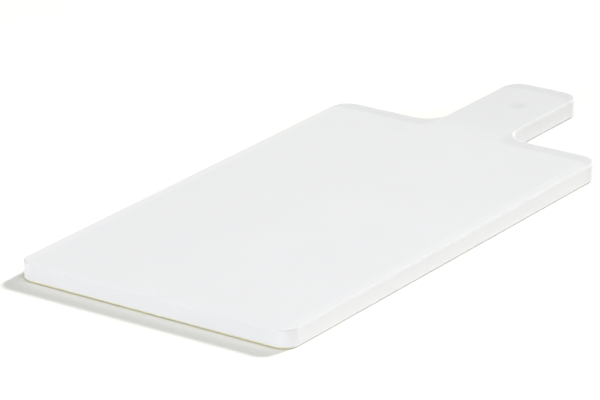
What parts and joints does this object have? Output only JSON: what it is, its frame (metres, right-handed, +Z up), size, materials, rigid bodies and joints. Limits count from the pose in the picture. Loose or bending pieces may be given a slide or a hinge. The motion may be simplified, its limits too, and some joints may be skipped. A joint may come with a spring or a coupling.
{
  "type": "cutting board",
  "caption": "Flat paddle-shaped cutting board in translucent white plastic, with rounded rims, a blind hanging hole under the handle and low silicone feet.",
  "frame": {"origin": "centre of the overall length and width, on the surface that the feet stand on", "axes": "+Y along the board's length towards the handle's end, +Z up out of the cutting face, +X to the right when seen from the front edge"},
  "size_m": [0.175, 0.385, 0.0108],
  "materials": {
    "opal_plastic": "fine matte, milky and translucent",
    "silicone_foot": "matte, milky silicone"
  },
  "bodies": {
    "root": {"board": "opal_plastic", "foot_front_left": "silicone_foot", "foot_front_right": "silicone_foot", "foot_rear_left": "silicone_foot", "foot_rear_right": "silicone_foot"}
  },
  "joints": []
}
